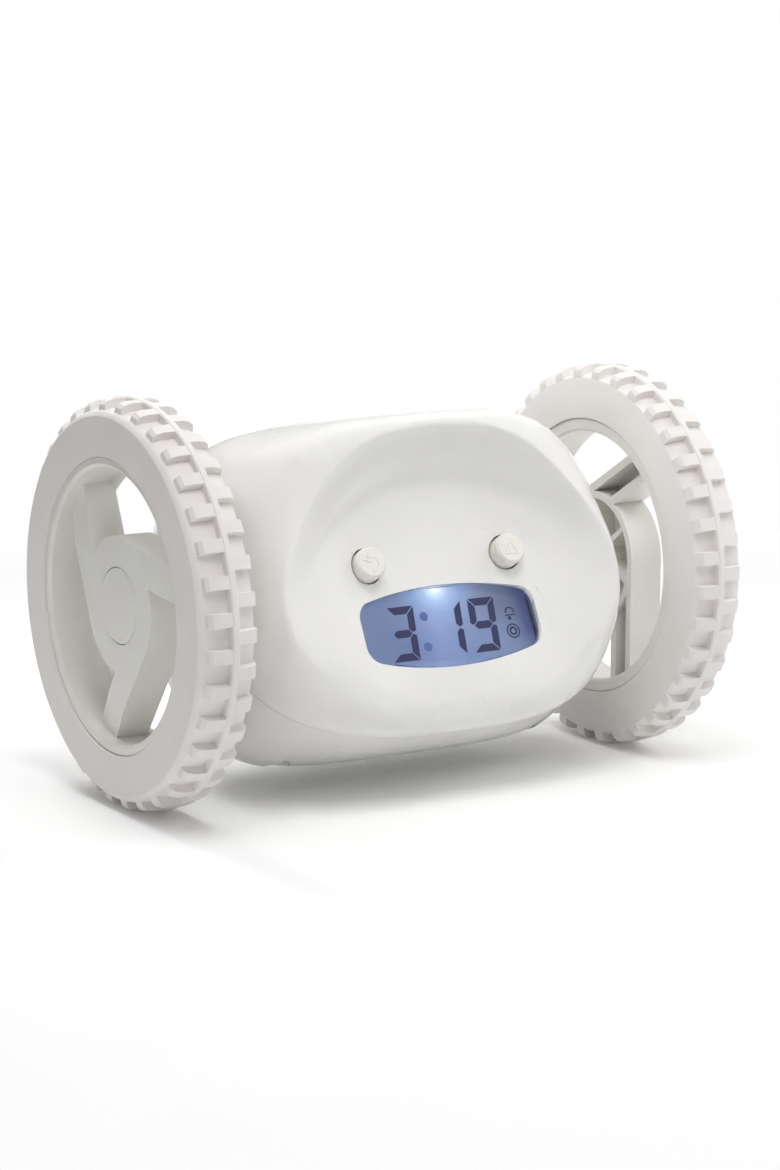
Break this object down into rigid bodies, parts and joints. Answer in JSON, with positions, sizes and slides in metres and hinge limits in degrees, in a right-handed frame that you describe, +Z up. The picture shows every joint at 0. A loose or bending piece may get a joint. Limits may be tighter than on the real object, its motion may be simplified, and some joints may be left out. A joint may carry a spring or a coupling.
{
  "type": "wheeled alarm clock",
  "caption": "Barrel-shaped alarm clock with a dished face, a small display and face buttons, carried between large spoked wheels with bar treads that drive it away.",
  "frame": {"origin": "floor point under the middle of the axle line, between the two wheels", "axes": "+X along the axles to the right wheel seen from the face side, -Y out of the face, +Z up from the floor"},
  "size_m": [0.134, 0.087, 0.087],
  "materials": {
    "housing_white": "gloss",
    "wheel_white": "satin",
    "tyre_white": "matte",
    "button_white": "satin",
    "lens_clear": "gloss",
    "lcd_glass": "gloss",
    "backlight_diffuser": "satin",
    "circuit_board": "satin",
    "buzzer_black": "matte",
    "steel": "satin",
    "motor_can": "satin",
    "cell_can": "satin",
    "contact_plate": "polished",
    "gearbox_plastic": "matte",
    "gear_plastic": "satin"
  },
  "bodies": {
    "housing": {"front_shell": "housing_white", "rear_shell": "housing_white", "battery_cover": "housing_white", "battery_cover_screw": "steel", "shell_screws": "steel", "battery_cell_1": "cell_can", "battery_cell_2": "cell_can", "battery_cell_3": "cell_can", "battery_cell_4": "cell_can", "battery_contacts": "contact_plate", "display_lens": "lens_clear", "lcd_panel": "lcd_glass", "backlight_panel": "backlight_diffuser", "display_board": "circuit_board", "buzzer": "buzzer_black", "main_board": "circuit_board", "left_gearbox_frame": "gearbox_plastic", "left_gearbox_cover": "gearbox_plastic", "left_gear_pins": "steel", "left_motor": "motor_can", "right_gearbox_frame": "gearbox_plastic", "right_gearbox_cover": "gearbox_plastic", "right_gear_pins": "steel", "right_motor": "motor_can"},
    "left_wheel": {"left_wheel_insert": "wheel_white", "left_tyre": "tyre_white", "left_hub_cap": "wheel_white", "left_axle": "steel", "left_axle_screw": "steel", "left_axle_gear": "gear_plastic"},
    "left_slow_gear_body": {"left_slow_gear": "gear_plastic"},
    "left_fast_gear_body": {"left_fast_gear": "gear_plastic"},
    "left_motor_pinion_body": {"left_motor_pinion": "gear_plastic"},
    "left_button_body": {"left_button": "button_white"},
    "right_wheel": {"right_wheel_insert": "wheel_white", "right_tyre": "tyre_white", "right_hub_cap": "wheel_white", "right_axle": "steel", "right_axle_screw": "steel", "right_axle_gear": "gear_plastic"},
    "right_slow_gear_body": {"right_slow_gear": "gear_plastic"},
    "right_fast_gear_body": {"right_fast_gear": "gear_plastic"},
    "right_motor_pinion_body": {"right_motor_pinion": "gear_plastic"},
    "right_button_body": {"right_button": "button_white"},
    "setting_key_1_body": {"setting_key_1": "button_white"},
    "setting_key_2_body": {"setting_key_2": "button_white"},
    "setting_key_3_body": {"setting_key_3": "button_white"},
    "setting_key_4_body": {"setting_key_4": "button_white"}
  },
  "joints": [
    {"name": "left_wheel_spin", "type": "hinge", "parent": "housing", "child": "left_wheel", "pos_m": [-0.0607, 0, 0.0435], "axis": [1, 0, 0], "continuous": true},
    {"name": "left_slow_gear_spin", "type": "hinge", "parent": "housing", "child": "left_slow_gear_body", "pos_m": [-0.0367, 0.00821, 0.05459], "axis": [1, 0, 0], "continuous": true},
    {"name": "left_fast_gear_spin", "type": "hinge", "parent": "housing", "child": "left_fast_gear_body", "pos_m": [-0.0327, 0.01731, 0.05045], "axis": [1, 0, 0], "continuous": true},
    {"name": "left_motor_pinion_spin", "type": "hinge", "parent": "housing", "child": "left_motor_pinion_body", "pos_m": [-0.0309, 0.01024, 0.04337], "axis": [1, 0, 0], "continuous": true},
    {"name": "left_button_press", "type": "slide", "parent": "housing", "child": "left_button_body", "axis": [0, 0.8796, -0.4756], "range_m": [0, 0.0008], "stiffness_N_per_m": 500, "springref_m": -0.0006},
    {"name": "right_wheel_spin", "type": "hinge", "parent": "housing", "child": "right_wheel", "pos_m": [0.0607, 0, 0.0435], "axis": [1, 0, 0], "continuous": true},
    {"name": "right_slow_gear_spin", "type": "hinge", "parent": "housing", "child": "right_slow_gear_body", "pos_m": [0.0367, 0.00821, 0.05459], "axis": [1, 0, 0], "continuous": true},
    {"name": "right_fast_gear_spin", "type": "hinge", "parent": "housing", "child": "right_fast_gear_body", "pos_m": [0.0327, 0.01731, 0.05045], "axis": [1, 0, 0], "continuous": true},
    {"name": "right_motor_pinion_spin", "type": "hinge", "parent": "housing", "child": "right_motor_pinion_body", "pos_m": [0.0309, 0.01024, 0.04337], "axis": [1, 0, 0], "continuous": true},
    {"name": "right_button_press", "type": "slide", "parent": "housing", "child": "right_button_body", "axis": [0, 0.8796, -0.4756], "range_m": [0, 0.0008], "stiffness_N_per_m": 500, "springref_m": -0.0006},
    {"name": "setting_key_1_press", "type": "slide", "parent": "housing", "child": "setting_key_1_body", "axis": [0, -1, 0], "range_m": [0, 0.0006], "stiffness_N_per_m": 500, "springref_m": -0.0006},
    {"name": "setting_key_2_press", "type": "slide", "parent": "housing", "child": "setting_key_2_body", "axis": [0, -1, 0], "range_m": [0, 0.0006], "stiffness_N_per_m": 500, "springref_m": -0.0006},
    {"name": "setting_key_3_press", "type": "slide", "parent": "housing", "child": "setting_key_3_body", "axis": [0, -1, 0], "range_m": [0, 0.0006], "stiffness_N_per_m": 500, "springref_m": -0.0006},
    {"name": "setting_key_4_press", "type": "slide", "parent": "housing", "child": "setting_key_4_body", "axis": [0, -1, 0], "range_m": [0, 0.0006], "stiffness_N_per_m": 500, "springref_m": -0.0006}
  ],
  "couplings": [
    {"joint": "left_slow_gear_spin", "follows": "left_wheel_spin", "ratio": -3.6},
    {"joint": "left_fast_gear_spin", "follows": "left_wheel_spin", "ratio": 14.4},
    {"joint": "left_motor_pinion_spin", "follows": "left_wheel_spin", "ratio": -57.6},
    {"joint": "right_slow_gear_spin", "follows": "right_wheel_spin", "ratio": -3.6},
    {"joint": "right_fast_gear_spin", "follows": "right_wheel_spin", "ratio": 14.4},
    {"joint": "right_motor_pinion_spin", "follows": "right_wheel_spin", "ratio": -57.6}
  ]
}
